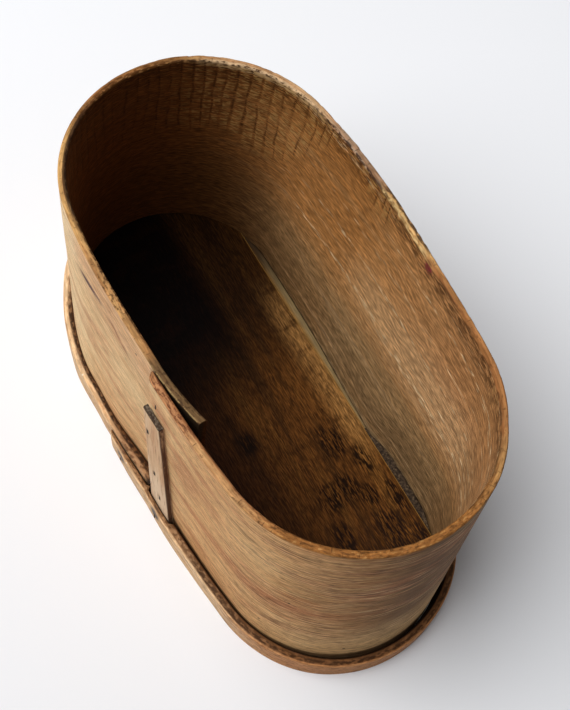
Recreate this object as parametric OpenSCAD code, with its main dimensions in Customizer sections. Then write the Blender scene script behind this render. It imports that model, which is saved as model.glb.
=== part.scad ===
// Open oval bentwood pot: one thin sheet bent round a board, lapped on one long side and nailed under a
// batten, with a narrow bent hoop round its foot.
// The origin is on the underside of the board, in the middle of the pot. +X runs along the pot, +Z is up,
// and the lap is on the -Y side. Places along the wall are distances along the rim from the middle of the
// lap side, counted towards +X. Offsets are square to the wall, outwards from its outer face.

/* [Rim] */
// Length of the rim over its round ends
rim_length = 250; // [232:1:280]
// Radius of the rim's round ends
rim_end_radius = 63; // [56:0.5:70]
// How far the lap side of the rim bows out past the end radius
rim_bow_lap = 4.5; // [1:0.1:9]
// How far the plain side of the rim bows out past the end radius
rim_bow_plain = 3.8; // [1:0.1:9]
// Height of the rim above the table
wall_height = 132; // [120:1:160]

/* [Foot] */
// Length of the foot over its round ends, outside the wall
foot_length = 256; // [240:1:290]
// Radius of the foot's round ends
foot_end_radius = 54.5; // [50:0.5:62]
// How far the lap side of the foot bows out past the end radius
foot_bow_lap = 4.5; // [1:0.1:8]
// How far the plain side of the foot bows out past the end radius
foot_bow_plain = 0.6; // [0.4:0.1:5]

/* [Wall sheet] */
// Thickness of the bent sheet
wall_thickness = 3.6; // [2.8:0.1:4.6]
// Softening of the two edges of the rim
rim_soft = 1.1; // [0.4:0.1:1.2]
// Place of the outer end of the lap
outer_end = 12; // [0:0.5:24]
// Length of the lap, from the outer end to the free inner end
lap_length = 29; // [22:0.5:45]
// Distance before the outer end at which the inner layer starts to leave the oval
inner_run = 82; // [50:1:110]
// How far the free inner end springs away from the outer layer at the rim
inner_spring = 3.2; // [0:0.1:6]

/* [Foot hoop] */
// Height of the hoop
hoop_height = 13; // [10:0.5:20]
// Thickness of the hoop
hoop_thickness = 3.8; // [3:0.1:5]
// Gap between the wall and the hoop
hoop_gap = 1.2; // [0.4:0.1:2]
// Length of the hoop's lap, from its outer tip to its inner end
hoop_lap = 31; // [22:1:45]
// Thickness to which the outer tip of the hoop is shaved
hoop_tip = 2.2; // [1.5:0.1:3]
// Distance past the batten over which the hoop comes back to the wall
hoop_return = 42; // [25:1:60]
// Softening of the top edges of the hoop
hoop_soft = 0.9; // [0.3:0.1:1]

/* [Batten] */
// Distance from the rim down to the top of the batten
batten_drop = 26; // [22:1:36]
// Thickness of the batten
batten_thickness = 2.6; // [2:0.1:3.6]
// Width of the batten at its top
batten_top_width = 13; // [11:0.5:18]
// Width of the batten at its foot
batten_foot_width = 17; // [14:0.5:20]
// Distance from the outer end of the lap to the batten, at the batten's top
batten_inset = 1; // [0:0.1:4]
// How much further in the edge of the batten lies at its foot
batten_slant = 2.6; // [0:0.1:5]
// Bevel along the outer edges of the batten
batten_bevel = 0.6; // [0.2:0.1:1]

/* [Bottom] */
// Thickness of the board
board_thickness = 7; // [5.5:0.5:12]
// Width of the seam between the straight edge of the board and the wall, at its middle
seam_width = 5; // [3:0.1:8]
// Place where the shim ends and the pitch starts, from the middle of the plain side
shim_end = 31; // [10:1:50]
// Length of the two narrow tips of the seam that stay open
seam_open = 3; // [2:0.5:20]
// Depth of the shim and the pitch below the floor
seam_depth = 0.4; // [0.2:0.1:1]

/* [Nails and pegs] */
// Width of a flat sprig
nail_width = 0.9; // [0.7:0.1:1.4]
// Height of a flat sprig
nail_height = 3.4; // [2.5:0.1:4]
// Distance from the top of the batten down to its top nail
nail_drop = 19; // [14:1:24]
// Height of the middle batten nail
nail_middle = 48; // [42:1:56]
// Height of the low batten nail
nail_low = 26; // [22:1:34]
// Distance of the top batten nail from the edge of the batten
inset_top = 3; // [2:0.5:6]
// Distance of the middle batten nail from the edge of the batten
inset_middle = 6; // [3:0.5:9]
// Distance of the low batten nail from the edge of the batten
inset_low = 9.5; // [6:0.5:11]
// Distance of the lap nail from the outer end of the lap
lap_nail_inset = 7.3; // [4:0.1:12]
// Height of the lap nail above the top of the batten
lap_nail_rise = 9; // [5:0.5:12]
// Distance of the first hoop nail from the tip of the hoop
hoop_nail_inset = 10; // [6:0.5:16]
// Depth of the hoop nails in the board
hoop_nail_depth = 10; // [6:0.5:15]
// Number of bottom pegs in each round end
peg_count = 3; // [2:1:4]
// Spacing of the bottom pegs
peg_spacing = 44; // [30:1:45]
// Diameter of a bottom peg
peg_diameter = 3; // [2.4:0.1:3.6]
// Length of a bottom peg
peg_length = 17; // [13:0.5:22]

/* [Fits] */
// Clearance between pieces that touch
fit = 0.2; // [0.1:0.05:0.3]

/* [Hidden] */
// Spacing of the sections along a bent strip
section_step = 6;
// Most of a strip's thickness that a softened edge takes, and the share of it that is left at its middle
soft_most = 0.33;
soft_middle = 0.3;
// Distances from the outer end, and the share of the thickness that is bevelled away there
outer_bevel = [[0, 0.65], [1.2, 0.25], [3.5, 0]];
// The same for the tip of the hoop
tip_bevel = [[0, 0.6], [1.5, 0.2], [4, 0]];
// Distance that a cutting shape runs past the face it opens
overcut = 1;
peg_sides = 24;
// Height of the hoop nails above the pegs, which sit at the middle of the board's edge
nail_rise = 1;
peg_z = board_thickness / 2;
nail_z = peg_z + nail_rise;
batten_foot = nail_z - nail_height;

rim = oval(rim_length, rim_end_radius, rim_bow_lap, rim_bow_plain);
foot = oval(foot_length, foot_end_radius, foot_bow_lap, foot_bow_plain);
rim_run = run(rim);
batten_top = wall_height - batten_drop;
nail_top = batten_top - nail_drop;
inner_end = outer_end + lap_length;
batten_out = fit + batten_thickness;
batten_right = batten_edge(0) + batten_foot_width;
hoop_inner_end = outer_end - 2 * fit;
hoop_start = hoop_inner_end - hoop_lap;
hoop_back = batten_right + hoop_return;
board_edge = foot_end_radius + foot_bow_plain - wall_thickness - seam_width;
// The seam's tips are where the straight edge meets the wall: the angle round the end of the foot, and the
// place from the middle of the plain side
tip_angle = asin(min(1, board_edge / (foot_end_radius - wall_thickness - 2 * fit)));
tip_run = half_side(foot[3]) + arc_length(foot_end_radius, foot[3][2] - tip_angle);
seam_end = tip_run * rim_run / run(foot) - seam_open;
end_middle = half_side(rim[2]) + round_end(rim) / 2;
end_middles = [end_middle, rim_run - end_middle];

// An oval of four arcs: two round ends and two bowed sides. It is kept as the place of the end centres, the
// end radius, and for each side the distance of its centre, its radius and the angle at which it meets
// the end.
function side_centre(reach, bow) = (reach * reach - bow * bow) / (2 * bow);
function side(reach, radius, bow) =
    let (far = side_centre(reach, bow))
    [far, far + radius + bow, atan2(far, reach)];
function oval(length, radius, bow_lap, bow_plain) =
    let (reach = length / 2 - radius)
    [reach, radius, side(reach, radius, bow_lap), side(reach, radius, bow_plain)];

// Lengths of an oval's half lap side, round end and half plain side, and the whole way round
function arc_length(radius, angle) = radius * angle * PI / 180;
function arc_angle(radius, length) = length / radius * 180 / PI;
function half_side(s) = arc_length(s[1], 90 - s[2]);
function round_end(o) = arc_length(o[1], o[2][2] + o[3][2]);
function run(o) = 2 * (half_side(o[2]) + round_end(o) + half_side(o[3]));

// Point of an oval at a distance from the middle of its lap side, moved outwards by an offset
function spoke(centre, radius, angle) = centre + radius * [cos(angle), sin(angle)];
function on_oval(o, s, offset) =
    let (near = half_side(o[2]), plain = near + round_end(o), far = plain + 2 * half_side(o[3]))
    let (lap = far + round_end(o), low = o[2], high = o[3])
    s < near ? spoke([0, low[0]], low[1] + offset, -90 + arc_angle(low[1], s)) :
    s < plain ? spoke([o[0], 0], o[1] + offset, -low[2] + arc_angle(o[1], s - near)) :
    s < far ? spoke([0, -high[0]], high[1] + offset, high[2] + arc_angle(high[1], s - plain)) :
    s < lap ? spoke([-o[0], 0], o[1] + offset, 180 - high[2] + arc_angle(o[1], s - far)) :
    spoke([0, low[0]], low[1] + offset, 180 + low[2] + arc_angle(low[1], s - lap));

// Point of the wall at a place along the rim, a height and an offset: the wall is straight from foot to rim
function on_wall(s, z, offset) =
    let (top = on_oval(rim, s, offset), low = on_oval(foot, s * run(foot) / rim_run, offset))
    let (p = low + (top - low) * z / wall_height)
    [p.x, p.y, z];

// How far the inner layer lies inside the oval at a place before or in the lap, and the edge of the batten
function ease(t) = let (k = min(max(t, 0), 1)) k * k * (3 - 2 * k);
function lean_in(s) = ease((s - outer_end + inner_run) / inner_run);
function sprung(s, z) = inner_spring * z / wall_height * pow(max(0, (s - outer_end) / lap_length), 1.5);
function set_in(s, z) = (wall_thickness + fit) * lean_in(s) + sprung(s, z);
function batten_edge(z) = outer_end + batten_inset + batten_slant * (1 - z / batten_top);

// Section of a bent strip from its outer to its inner offset, with softened top edges
function strip(outer, inner, height, soft) =
    let (e = min(soft, (outer - inner) * soft_most), m = e * soft_middle)
    [
        [outer, 0], [outer, height - e], [outer - m, height - m], [outer - e, height],
        [inner + e, height], [inner + m, height - m], [inner, height - e], [inner, 0]
    ];

// Places from start to stop about one section step apart
function places(start, stop) =
    let (n = ceil((stop - start) / section_step))
    [for (i = [0:n]) start + (stop - start) * i / n];

// Closed solid through a row of loops that have as many points each
module skin(loops) {
    n = len(loops[0]);
    last = (len(loops) - 1) * n;
    polyhedron(
        points = [for (loop = loops) for (p = loop) p],
        faces = concat(
            [[for (i = [0:n - 1]) i]],
            [[for (i = [n - 1:-1:0]) last + i]],
            [for (j = [0:n:last - 1]) for (i = [0:n - 1]) [j + i, j + n + i, j + n + (i + 1) % n]],
            [for (j = [0:n:last - 1]) for (i = [0:n - 1]) [j + i, j + n + (i + 1) % n, j + (i + 1) % n]]
        )
    );
}

// Sections of the wall sheet, from its bevelled outer end round to its free inner end
function wall_loop(s) =
    let (bevel = wall_thickness * lookup(s - outer_end, outer_bevel), back = s - rim_run)
    let (section = strip(-bevel, -wall_thickness, wall_height, rim_soft))
    [for (p = section) on_wall(s, p[1], p[0] - set_in(back, p[1]))];

module wall_band() {
    bevelled = [for (b = outer_bevel) outer_end + b[0]];
    stops = concat(bevelled, places(outer_end + section_step, rim_run + inner_end));
    color("#b58a5c")
    difference() {
        skin([for (s = stops) wall_loop(s)]);
        batten_sprigs(fit);
        lap_sprig(fit);
        hoop_sprigs(fit);
        pegs(fit);
    }
}

// Inner offset and thickness of the hoop: its outer layer rides over the inner layer and the batten
function hoop_under(s) = hoop_gap + (fit - hoop_gap) * lean_in(s) - set_in(s, 0);
function hoop_over(s) = lookup(s, [
    [hoop_start, hoop_under(hoop_start) + hoop_thickness + fit],
    [batten_edge(0) - fit, batten_out + fit],
    [batten_right + fit, batten_out + fit],
    [hoop_back, hoop_gap]
]);
function hoop_inner(s) = s < rim_run / 2 ? hoop_over(s) : hoop_under(s - rim_run);
function hoop_depth(s) =
    let (half = (hoop_tip + hoop_thickness) / 2)
    let (full = lookup(s, [[hoop_start, hoop_tip], [batten_right, half], [hoop_back, hoop_thickness]]))
    full * (1 - lookup(s - hoop_start, tip_bevel));
function hoop_loop(s) =
    let (inner = hoop_inner(s))
    [for (p = strip(inner + hoop_depth(s), inner, hoop_height, hoop_soft)) on_wall(s, p[1], p[0])];

module foot_hoop() {
    bevelled = [for (b = tip_bevel) hoop_start + b[0]];
    stops = concat(bevelled, places(hoop_start + section_step, rim_run + hoop_inner_end));
    color("#a8743f")
    difference() {
        skin([for (s = stops) hoop_loop(s)]);
        hoop_sprigs(fit);
    }
}

// Inner face of the wall at the table, seen from above: the bottom pieces stand square inside it
function inner_face(s) =
    let (p = on_wall(s, 0, -wall_thickness - 2 * fit - set_in(s - rim_run, 0)))
    [p.x, p.y];

module bottom_board() {
    color("#7a5128")
    difference() {
        linear_extrude(board_thickness)
        polygon([for (s = places(inner_end + fit, rim_run + inner_end + fit)) inner_face(s)]);
        translate([-foot_length, board_edge, -overcut])
        cube([2 * foot_length, foot_length, board_thickness + 2 * overcut]);
        hoop_sprigs(fit);
        pegs(fit);
    }
}

// A piece of the seam between the board's straight edge and the wall, between two places counted from the
// middle of the plain side
module seam_piece(start, stop) {
    wall = [for (s = places(rim_run / 2 - stop, rim_run / 2 - start)) inner_face(s)];
    edge = board_edge + fit;
    translate([0, 0, seam_depth])
    linear_extrude(board_thickness - 2 * seam_depth)
    polygon(concat(wall, [[wall[len(wall) - 1].x, edge], [wall[0].x, edge]]));
}

module bottom_shim() {
    color("#a39274")
    seam_piece(-seam_end, shim_end);
}

module seam_pitch() {
    color("#2e2720")
    seam_piece(shim_end + fit, seam_end);
}

// Section of the batten at a height: flat on the wall, with bevelled outer edges
function batten_loop(z) =
    let (taper = batten_top_width - batten_foot_width, left = batten_edge(z))
    let (right = left + batten_foot_width + taper * z / batten_top, out = batten_out, b = batten_bevel)
    [
        on_wall(left, z, fit), on_wall(left, z, out - b), on_wall(left + b, z, out),
        on_wall(right - b, z, out), on_wall(right, z, out - b), on_wall(right, z, fit)
    ];

module lock_batten() {
    color("#c39a6b")
    difference() {
        skin([batten_loop(batten_foot), batten_loop(batten_top)]);
        batten_sprigs(fit);
        hoop_sprigs(fit);
    }
}

// A flat sprig driven square into the lap side, from an outer to an inner offset. A cut for it is grown
// all round.
module sprig(s, z, from, to, grow) {
    p = on_wall(s, z, 0);
    cut = grow > 0 ? overcut : 0;
    translate([p.x - nail_width / 2 - grow, p.y - from - cut, z - nail_height / 2 - grow])
    cube([nail_width + 2 * grow, from - to + cut + grow, nail_height + 2 * grow]);
}

// Offset of the middle of the inner layer, where the lap's sprigs end
function inner_middle(s, z) = -set_in(s, z) - wall_thickness / 2;

module batten_sprigs(grow) {
    for (n = [[nail_top, inset_top], [nail_middle, inset_middle], [nail_low, inset_low]]) {
        s = batten_edge(n[0]) + n[1];
        sprig(s, n[0], batten_out, inner_middle(s, n[0]), grow);
    }
}

module lap_sprig(grow) {
    s = outer_end + lap_nail_inset;
    z = batten_top + lap_nail_rise;
    sprig(s, z, 0, inner_middle(s, z), grow);
}

module hoop_sprigs(grow) {
    for (s = [hoop_start + hoop_nail_inset, batten_edge(0) + batten_foot_width / 2]) {
        board_face = -set_in(s, nail_z) - wall_thickness;
        sprig(s, nail_z, hoop_over(s) + hoop_depth(s), board_face - hoop_nail_depth, grow);
    }
}

module batten_nails() {
    color("#33302e")
    batten_sprigs(0);
}

module lap_nail() {
    color("#33302e")
    lap_sprig(0);
}

module hoop_nails() {
    color("#3f464e")
    hoop_sprigs(0);
}

// Round pegs in the two round ends of the foot, driven square through the wall into the board
module pegs(grow) {
    for (end = end_middles, i = [1:peg_count]) {
        s = end + peg_spacing * (i - (peg_count + 1) / 2);
        p = on_wall(s, peg_z, grow > 0 ? overcut : -2 * fit);
        q = on_wall(s, peg_z, -peg_length);
        reach = norm(q - p) + grow;
        translate(p)
        rotate([0, 90, atan2(q.y - p.y, q.x - p.x)])
        cylinder(h = reach, d = peg_diameter + 2 * grow, $fn = peg_sides);
    }
}

module bottom_pegs() {
    color("#8f6a3d")
    pegs(0);
}

wall_band();
foot_hoop();
bottom_board();
lock_batten();
batten_nails();
lap_nail();
hoop_nails();
bottom_shim();
seam_pitch();
bottom_pegs();
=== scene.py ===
import math

import bpy
import numpy as np
from mathutils import Matrix, Vector


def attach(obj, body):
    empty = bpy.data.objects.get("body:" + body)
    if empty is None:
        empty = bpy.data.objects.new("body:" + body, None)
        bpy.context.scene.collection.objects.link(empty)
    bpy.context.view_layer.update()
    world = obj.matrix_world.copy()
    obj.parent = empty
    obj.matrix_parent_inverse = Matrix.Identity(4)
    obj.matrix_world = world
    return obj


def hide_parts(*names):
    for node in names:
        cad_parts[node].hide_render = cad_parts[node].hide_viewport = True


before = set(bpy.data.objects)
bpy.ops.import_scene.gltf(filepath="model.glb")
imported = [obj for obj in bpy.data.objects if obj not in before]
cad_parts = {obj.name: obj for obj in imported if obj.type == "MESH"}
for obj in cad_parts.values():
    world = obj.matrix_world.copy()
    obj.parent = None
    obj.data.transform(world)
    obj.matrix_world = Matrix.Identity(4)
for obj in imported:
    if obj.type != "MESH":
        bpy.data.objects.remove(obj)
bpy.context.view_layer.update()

MM = 0.001


# Sizes of the pot in millimetres. Places along the wall are distances along the rim from the middle of the lap
# side, counted towards +X, and offsets are square to the wall, outwards from its outer face.
RIM_LENGTH = 250.0
RIM_RADIUS = 63.0
RIM_BOW_LAP = 4.5
RIM_BOW_PLAIN = 3.8
FOOT_LENGTH = 256.0
FOOT_RADIUS = 54.5
FOOT_BOW_LAP = 4.5
FOOT_BOW_PLAIN = 0.6
WALL_HEIGHT = 132.0
WALL = 3.6
OUTER_END = 12.0
LAP = 29.0
INNER_RUN = 82.0
INNER_RUN_FOOT = 44.0
SPRING = 3.2
FIT = 0.2
HOOP_HEIGHT = 13.0
HOOP = 3.8
HOOP_GAP = 1.2
HOOP_LAP = 33.0
HOOP_TIP = 1.9
HOOP_RETURN = 42.0
BATTEN_TOP = 106.0
BATTEN_FOOT = 1.1
BATTEN = 2.6
BATTEN_TOP_WIDTH = 13.0
BATTEN_FOOT_WIDTH = 17.0
BATTEN_INSET = 1.0
BATTEN_SLANT = 2.6
BOARD = 7.0
SEAM = 5.0
SHIM_END = 31.0
SEAM_OPEN = 3.0
SEAM_DEPTH = 0.4
SWELL = 3.2
SWELL_ALONG_SHIM = 46.0
SWELL_ALONG_PITCH = 12.0
SWELL_HEIGHT = 45.0
NAIL_WIDTH = 0.9
NAIL_HEIGHT = 3.4
NAIL_PROUD = 0.12
NAIL_ROUGH = 0.15
BATTEN_NAILS = [(87.0, 3.0), (48.0, 6.0), (26.0, 9.5)]  # height, and inset from the batten's left edge
LAP_NAIL_INSET = 7.3
LAP_NAIL_RISE = 9.0
HOOP_NAIL_INSET = 12.0
HOOP_NAIL_Z = 4.5
HOOP_NAIL_BITE = 10.0
PEG_Z = 3.5
PEG_DIAMETER = 3.0
PEG_LENGTH = 17.0
PEG_SPACING = 44.0
PEG_ROUGH = 0.2


def oval(length, radius, bow_lap, bow_plain):
    """An oval of four arcs: two round ends and two bowed sides."""
    reach = length / 2 - radius
    o = {"reach": reach, "radius": radius}
    for side, bow in (("lap", bow_lap), ("plain", bow_plain)):
        far = (reach * reach - bow * bow) / (2 * bow)
        angle = math.atan2(far, reach)
        o[side] = {"far": far, "radius": far + radius + bow, "angle": angle}
        o[side]["half"] = (math.pi / 2 - angle) * o[side]["radius"]
    o["end"] = radius * (o["lap"]["angle"] + o["plain"]["angle"])
    o["run"] = 2 * (o["lap"]["half"] + o["end"] + o["plain"]["half"])
    return o


RIM = oval(RIM_LENGTH, RIM_RADIUS, RIM_BOW_LAP, RIM_BOW_PLAIN)
FOOT = oval(FOOT_LENGTH, FOOT_RADIUS, FOOT_BOW_LAP, FOOT_BOW_PLAIN)
RUN = RIM["run"]
INNER_END = OUTER_END + LAP
BOARD_EDGE = FOOT_RADIUS + FOOT_BOW_PLAIN - WALL - SEAM
TIP_ANGLE = math.asin(BOARD_EDGE / (FOOT_RADIUS - WALL - 2 * FIT))
TIP_RUN = FOOT["plain"]["half"] + FOOT_RADIUS * (FOOT["plain"]["angle"] - TIP_ANGLE)
SEAM_END = TIP_RUN * RUN / FOOT["run"] - SEAM_OPEN

# The old sheet has drifted off its ovals: by so much at places along the rim, and in humps and hollows along the
# foot, each with its size, middle and half width.
RIM_DRIFT_AT = [200, 225, 255, 302, 335, 369, 400, 440]
RIM_DRIFT = [0, -1.0, 0.2, -0.2, 1.0, 1.8, 0.8, 0]
FOOT_DRIFT = [(1.7, 586, 16), (-2.3, 546, 17), (0.6, 130, 28)]

# Stretches along the wall: where each starts, is full, is last full and stops
CREASED_END = (290, 350, 530, 590)
CREASED_RIM = (90, 120, 240, 270)
WORN_RIM = (300, 315, 385, 400)
FOOT_OUT = (550, 575, 615, 640)
HOOP_OFF = (95, 150, 225, 270)

# Nicks in the rim: place, depth, half width and half width at the bottom
NICKS = [(72, 0.8, 1.6, 0.4), (133, 0.5, 1.3, 0.3)]


def on_oval(o, s, offset):
    """Points beside an oval, at places along it."""
    lap, plain, r = o["lap"], o["plain"], o["radius"]
    a = lap["half"]
    b = a + o["end"]
    c = b + 2 * plain["half"]
    d = c + o["end"]
    zone = [s < a, s < b, s < c, s < d]
    angle = np.select(zone, [
        -math.pi / 2 + s / lap["radius"],
        -lap["angle"] + (s - a) / r,
        plain["angle"] + (s - b) / plain["radius"],
        math.pi - plain["angle"] + (s - c) / r,
    ], math.pi + lap["angle"] + (s - d) / lap["radius"])
    radius = np.select(zone, [lap["radius"], r, plain["radius"], r], lap["radius"]) + offset
    x = np.select(zone, [0, o["reach"], 0, -o["reach"]], 0) + radius * np.cos(angle)
    y = np.select(zone, [lap["far"], 0, -plain["far"], 0], lap["far"]) + radius * np.sin(angle)
    return x, y


def on_wall(s, z, offset):
    """Points beside the wall, which runs straight from the foot's oval to the rim's."""
    s, z, offset = np.broadcast_arrays(np.asarray(s, float), np.asarray(z, float), np.asarray(offset, float))
    rim_drift = np.interp(s, RIM_DRIFT_AT, RIM_DRIFT)
    foot_drift = sum(size * np.exp(-((s - middle) / width) ** 2) for size, middle, width in FOOT_DRIFT)
    top = on_oval(RIM, s, offset + rim_drift)
    low = on_oval(FOOT, s * FOOT["run"] / RUN, offset + foot_drift)
    w = z / WALL_HEIGHT
    return np.stack([low[0] + (top[0] - low[0]) * w, low[1] + (top[1] - low[1]) * w, z], axis=-1)


def ease(t, low=0.0, high=1.0):
    """Goes smoothly from 0 at low to 1 at high."""
    k = np.clip((t - low) / (high - low), 0, 1)
    return k * k * (3 - 2 * k)


def stretch(s, start, full, last, stop):
    """1 along a stretch of the wall, running out to 0 at its ends."""
    return ease(s, start, full) * ease(s, stop, last)


def wander(x, y, seed=0.0):
    """Smooth unevenness between -1 and 1 that repeats nowhere, one swing per unit."""
    xi, yi = np.floor(x), np.floor(y)
    fx, fy = x - xi, y - yi
    fx, fy = fx * fx * (3 - 2 * fx), fy * fy * (3 - 2 * fy)

    def corner(a, b):
        return np.mod(np.sin(a * 127.1 + b * 311.7 + seed * 74.7) * 43758.5453, 1.0) * 2 - 1

    low = corner(xi, yi) * (1 - fx) + corner(xi + 1, yi) * fx
    high = corner(xi, yi + 1) * (1 - fx) + corner(xi + 1, yi + 1) * fx
    return low * (1 - fy) + high * fy


def lean_in(s, z):
    """How far the sheet has turned in under its outer end, which it does later at the foot than at the rim."""
    run = INNER_RUN_FOOT + (INNER_RUN - INNER_RUN_FOOT) * z / WALL_HEIGHT
    return ease((s - OUTER_END + run) / run)


def set_in(s, z):
    """How far the sheet lies inside the oval: under its outer end, and sprung free of it towards the rim."""
    sprung = SPRING * z / WALL_HEIGHT * np.clip((s - OUTER_END) / LAP, 0, None) ** 1.5
    return (WALL + FIT) * lean_in(s, z) + sprung


def swell(s, z):
    """Extra thickness of the sheet's foot where the shim ends against it."""
    away = s - RUN / 2 + SHIM_END
    reach = np.where(away > 0, SWELL_ALONG_SHIM, SWELL_ALONG_PITCH)
    return SWELL * np.exp(-(away / reach) ** 2) * ease(z, SWELL_HEIGHT, 0)


def batten_edge(z):
    """Place of the batten's left edge, which slants."""
    return OUTER_END + BATTEN_INSET + BATTEN_SLANT * (1 - z / BATTEN_TOP)


def add_object(name, data):
    obj = bpy.data.objects.new(name, data)
    bpy.context.scene.collection.objects.link(obj)
    return obj


def stand_for(obj, node):
    """Lets a finished piece take the place of its CAD node."""
    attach(obj, "root")
    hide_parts(node)


def piece(name, points, faces, material, node, sheet=None, marks=None):
    """Mesh object of one piece that stands for its CAD node. Its points come section by section, in millimetres."""
    mesh = bpy.data.meshes.new(name)
    mesh.from_pydata((points.reshape(-1, 3) * MM).tolist(), [], faces)
    mesh.validate()
    if sheet is not None:
        places = mesh.attributes.new("sheet", "FLOAT_VECTOR", "POINT")
        places.data.foreach_set("vector", sheet.astype(np.float32).ravel())
    for mark, values in (marks or {}).items():
        shares = mesh.attributes.new(mark, "FLOAT", "POINT")
        shares.data.foreach_set("value", values.astype(np.float32).ravel())
    mesh.materials.append(material)
    mesh.shade_smooth()
    mesh.set_sharp_from_angle(angle=math.radians(50))
    stand_for(add_object(name, mesh), node)


def ring_faces(stations, around):
    """Faces between closed sections that stand one after the other."""
    faces = []
    for j in range(stations - 1):
        for i in range(around):
            k = (i + 1) % around
            faces.append((j * around + i, j * around + k, (j + 1) * around + k, (j + 1) * around + i))
    return faces


def strip_faces(stations, around):
    """Faces of a closed strip whose sections run up the outside, over the top and down the inside."""
    faces = ring_faces(stations, around)
    last = (stations - 1) * around
    for i in range(around // 2 - 1):
        faces.append((around - 1 - i, around - 2 - i, i + 1, i))
        faces.append((last + i, last + i + 1, last + around - 2 - i, last + around - 1 - i))
    return faces


def strip_section(height, thickness, soft, rows):
    """Depth below the outer face and height of the points of a strip's section, with rounded top edges."""
    turn = np.linspace(0, math.pi / 2, 6)[1:]
    depth = np.concatenate([np.zeros(rows), soft * (1 - np.cos(turn)), [soft + (thickness / 2 - soft) * 0.6]])
    z = np.concatenate([np.linspace(0, height - soft, rows), height - soft + soft * np.sin(turn), [height]])
    return np.concatenate([depth, thickness - depth[::-1]])[None, :], np.concatenate([z, z[::-1]])[None, :]


def sheet_places(s, z, share):
    """Attribute "sheet" of bent wood: place along it and height in metres, and depth from 0 outside to 1 inside."""
    return np.stack(np.broadcast_arrays(s * MM, z * MM, share), axis=-1)


def slab(x, y, top_z, under_z):
    """Sections of a flat piece, over its top and back along its underside."""
    top = np.stack(np.broadcast_arrays(x, y, top_z), axis=-1)
    under = top[:, ::-1].copy()
    under[..., 2] = under_z
    return np.concatenate([top, under], axis=1)


def srgb(text):
    """Linear colour of an sRGB hex value."""
    v = [int(text[i:i + 2], 16) / 255 for i in (1, 3, 5)]
    return tuple(c / 12.92 if c <= 0.04045 else ((c + 0.055) / 1.055) ** 2.4 for c in v) + (1.0,)


def put(tree, kind, inputs=None, **settings):
    """Adds a node with its settings and links."""
    node = tree.nodes.new(kind)
    for name, value in settings.items():
        setattr(node, name, value)
    for name, value in (inputs or {}).items():
        if isinstance(value, bpy.types.NodeSocket):
            tree.links.new(value, node.inputs[name])
        else:
            node.inputs[name].default_value = value
    return node


def new_material(name, bent=False):
    """A material, its tree and the place that its patterns read, which follows the sheet on bent wood."""
    material = bpy.data.materials.new(name)
    material.use_nodes = True
    tree = material.node_tree
    tree.nodes.clear()
    if bent:
        return material, tree, put(tree, "ShaderNodeAttribute", attribute_name="sheet").outputs["Vector"]
    return material, tree, put(tree, "ShaderNodeTexCoord").outputs["Object"]


def finish_surface(tree, colour, grain, rough, relief, gloss=0.08):
    """Matt surface whose roughness and fine relief, in millimetres, follow its grain."""
    dull = put(tree, "ShaderNodeMapRange", {
        "Value": grain, "From Min": 0.3, "From Max": 0.7, "To Min": rough[0], "To Max": rough[1]})
    bump = put(tree, "ShaderNodeBump", {"Strength": 1.0, "Distance": relief * MM, "Height": grain})
    shader = put(tree, "ShaderNodeBsdfPrincipled", {
        "Base Color": colour, "Roughness": dull.outputs[0], "IOR": 1.5, "Specular IOR Level": gloss,
        "Normal": bump.outputs[0]})
    put(tree, "ShaderNodeOutputMaterial", {"Surface": shader.outputs[0]})


def patches(tree, coords, sizes, detail=3.0, seed=0.0):
    """Unevenness whose patches are about as large as sizes, in millimetres.

    On the attribute "sheet" the third size is in thousandths of the sheet's depth."""
    scale, shift = tuple(1000 / v for v in sizes), (seed * 7.3, seed * 3.1, seed * 5.7)
    scaled = put(tree, "ShaderNodeVectorMath", {0: coords, 1: scale, 2: shift}, operation="MULTIPLY_ADD")
    return put(tree, "ShaderNodeTexNoise", {
        "Vector": scaled.outputs[0], "Scale": 1.0, "Detail": detail, "Roughness": 0.6}).outputs[0]


def spot(tree, coords, centre, radii, turn=0.0):
    """Distance from the middle of an oval spot, 1 at its edge. The centre and radii are in millimetres."""
    local = put(tree, "ShaderNodeMapping", {
        "Vector": coords, "Location": (centre[0] * MM, centre[1] * MM, 0.0),
        "Rotation": (0.0, 0.0, math.radians(turn)), "Scale": (radii[0] * MM, radii[1] * MM, 1000.0)},
        vector_type="TEXTURE")
    return put(tree, "ShaderNodeVectorMath", {0: local.outputs[0]}, operation="LENGTH").outputs["Value"]


def stain(tree, base, colour, amount, *where):
    """Lays a colour over a base where every pattern in where has gone from its first to its second value."""
    for pattern, low, high in where:
        amount = put(tree, "ShaderNodeMapRange", {
            "Value": pattern, "From Min": low, "From Max": high, "To Min": 0.0, "To Max": amount},
            interpolation_type="SMOOTHSTEP").outputs[0]
    return put(tree, "ShaderNodeMix", {0: amount, 6: base, 7: srgb(colour)}, data_type="RGBA").outputs[2]


def stains(tree, colour, layers):
    """Lays stains over a base, one after the other."""
    for layer in layers:
        colour = stain(tree, colour, *layer)
    return colour


def shade(tree, colour, pattern, low, high):
    """Multiplies a colour by a share that goes from low to high with a pattern."""
    level = put(tree, "ShaderNodeMapRange", {
        "Value": pattern, "From Min": 0.42, "From Max": 0.58, "To Min": low, "To Max": high})
    return put(tree, "ShaderNodeMix", {0: 1.0, 6: colour, 7: level.outputs[0]},
               data_type="RGBA", blend_type="MULTIPLY").outputs[2]


# Wood fibres are about 0.3 mm wide. All of them are drawn two to four times as wide, so that they show.


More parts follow.
